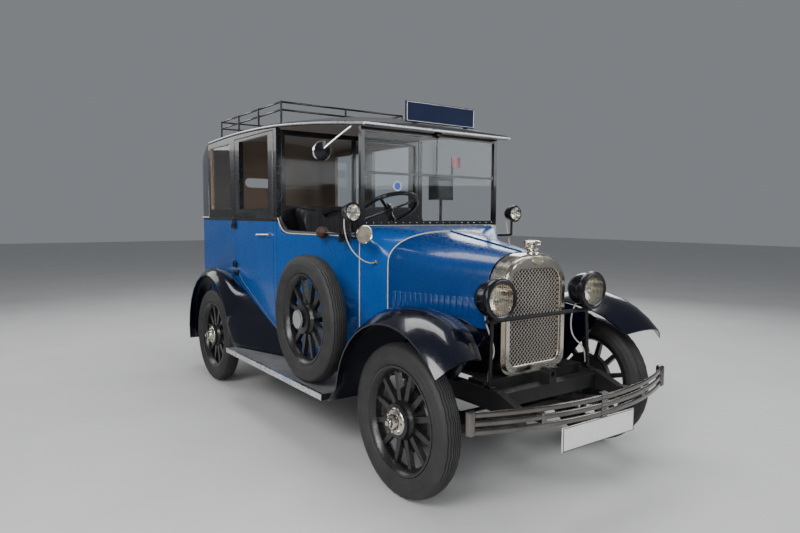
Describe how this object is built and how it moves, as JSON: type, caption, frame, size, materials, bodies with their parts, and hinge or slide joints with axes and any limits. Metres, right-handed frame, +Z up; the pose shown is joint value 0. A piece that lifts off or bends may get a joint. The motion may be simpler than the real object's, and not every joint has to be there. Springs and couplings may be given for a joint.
{
  "type": "taxi cab",
  "caption": "Upright 1920s landaulet taxi cab, right-hand drive, with an open driver's place, closed rear cabin, folding hood and roof rack.",
  "frame": {"origin": "on the ground under the centre of the bounding box", "axes": "+X towards the nose, +Y to the car's left, +Z up"},
  "size_m": [4.04, 1.72, 2.174],
  "materials": {
    "black_paint": "gloss",
    "blue_paint": "gloss",
    "navy_paint": "gloss",
    "chassis_black": "satin",
    "nickel": "polished",
    "cast_iron": "rough",
    "steel": "satin",
    "tyre": "matt",
    "black_leather": "satin",
    "brown_cloth": "woven",
    "hood_cloth": "woven",
    "board_rubber": "matt",
    "floor_wood": "matt",
    "glass": "clear",
    "white_paint": "gloss",
    "dark_plastic": "gloss"
  },
  "bodies": {
    "cab": {"chassis_frame": "chassis_black", "front_axle": "chassis_black", "rear_axle": "chassis_black", "leaf_springs": "steel", "engine_block": "cast_iron", "drive_line": "cast_iron", "exhaust": "steel", "radiator": "nickel", "scuttle": "blue_paint", "windscreen": "black_paint", "wings": "navy_paint", "running_boards": "board_rubber", "floor": "floor_wood", "body_tub": "blue_paint", "side_panel": "blue_paint", "partition": "blue_paint", "roof": "black_paint", "landau_hood": "hood_cloth", "roof_rack": "black_paint", "sign_board": "navy_paint", "driver_seat": "black_leather", "passenger_seat": "brown_cloth", "steering_column": "black_paint", "headlamps": "black_paint", "side_lamps": "black_paint", "bulb_horn": "nickel", "mirror": "nickel", "taximeter": "black_paint", "bumper": "nickel", "number_plates": "white_paint", "window_glass": "glass", "spare_wheel": "black_paint", "spare_tyre": "tyre"},
    "knuckle_left": {"knuckle_left": "steel"},
    "knuckle_right": {"knuckle_right": "steel"},
    "track_rod": {"track_rod": "steel"},
    "steering_wheel": {"steering_wheel": "dark_plastic"},
    "door_left": {"door_left": "blue_paint"},
    "door_right": {"door_right": "blue_paint"},
    "bonnet_left": {"bonnet_left": "blue_paint"},
    "bonnet_right": {"bonnet_right": "blue_paint"},
    "front_left_road_wheel": {"front_left_wheel": "black_paint", "front_left_tyre": "tyre"},
    "front_right_road_wheel": {"front_right_wheel": "black_paint", "front_right_tyre": "tyre"},
    "rear_left_road_wheel": {"rear_left_wheel": "black_paint", "rear_left_tyre": "tyre"},
    "rear_right_road_wheel": {"rear_right_wheel": "black_paint", "rear_right_tyre": "tyre"}
  },
  "joints": [
    {"name": "kingpin_left", "type": "hinge", "parent": "cab", "child": "knuckle_left", "pos_m": [1.4, 0.6, 0.376], "axis": [0, 0, 1], "range_deg": [-30, 30]},
    {"name": "kingpin_right", "type": "hinge", "parent": "cab", "child": "knuckle_right", "pos_m": [1.4, -0.6, 0.376], "axis": [0, 0, 1], "range_deg": [-30, 30]},
    {"name": "track_rod_pivot", "type": "hinge", "parent": "knuckle_left", "child": "track_rod", "pos_m": [1.24, 0.6, 0.272], "axis": [0, 0, 1], "range_deg": [-30, 30]},
    {"name": "steering_wheel_turn", "type": "hinge", "parent": "cab", "child": "steering_wheel", "pos_m": [0.5, -0.2, 1.405], "axis": [-0.5, 0, 0.866], "range_deg": [-360, 360]},
    {"name": "front_left_spin", "type": "hinge", "parent": "knuckle_left", "child": "front_left_road_wheel", "pos_m": [1.4, 0.711, 0.376], "axis": [0, 1, 0], "continuous": true},
    {"name": "front_right_spin", "type": "hinge", "parent": "knuckle_right", "child": "front_right_road_wheel", "pos_m": [1.4, -0.711, 0.376], "axis": [0, 1, 0], "continuous": true},
    {"name": "rear_left_spin", "type": "hinge", "parent": "cab", "child": "rear_left_road_wheel", "pos_m": [-1.25, 0.711, 0.376], "axis": [0, 1, 0], "continuous": true},
    {"name": "rear_right_spin", "type": "hinge", "parent": "cab", "child": "rear_right_road_wheel", "pos_m": [-1.25, -0.711, 0.376], "axis": [0, 1, 0], "continuous": true},
    {"name": "door_left_hinge", "type": "hinge", "parent": "cab", "child": "door_left", "pos_m": [-1.028, 0.654, 0.9], "axis": [0, 0, 1], "range_deg": [0, 70]},
    {"name": "door_right_hinge", "type": "hinge", "parent": "cab", "child": "door_right", "pos_m": [-1.028, -0.654, 0.9], "axis": [0, 0, -1], "range_deg": [0, 70]},
    {"name": "bonnet_left_hinge", "type": "hinge", "parent": "cab", "child": "bonnet_left", "pos_m": [0.886, 0, 1.2687], "axis": [0.9872, 0, -0.1598], "range_deg": [0, 60]},
    {"name": "bonnet_right_hinge", "type": "hinge", "parent": "cab", "child": "bonnet_right", "pos_m": [0.886, 0, 1.2687], "axis": [-0.9872, 0, 0.1598], "range_deg": [0, 60]}
  ],
  "couplings": [
    {"joint": "kingpin_right", "follows": "kingpin_left", "ratio": 1},
    {"joint": "track_rod_pivot", "follows": "kingpin_left", "ratio": -1},
    {"joint": "steering_wheel_turn", "follows": "kingpin_left", "ratio": 12}
  ]
}
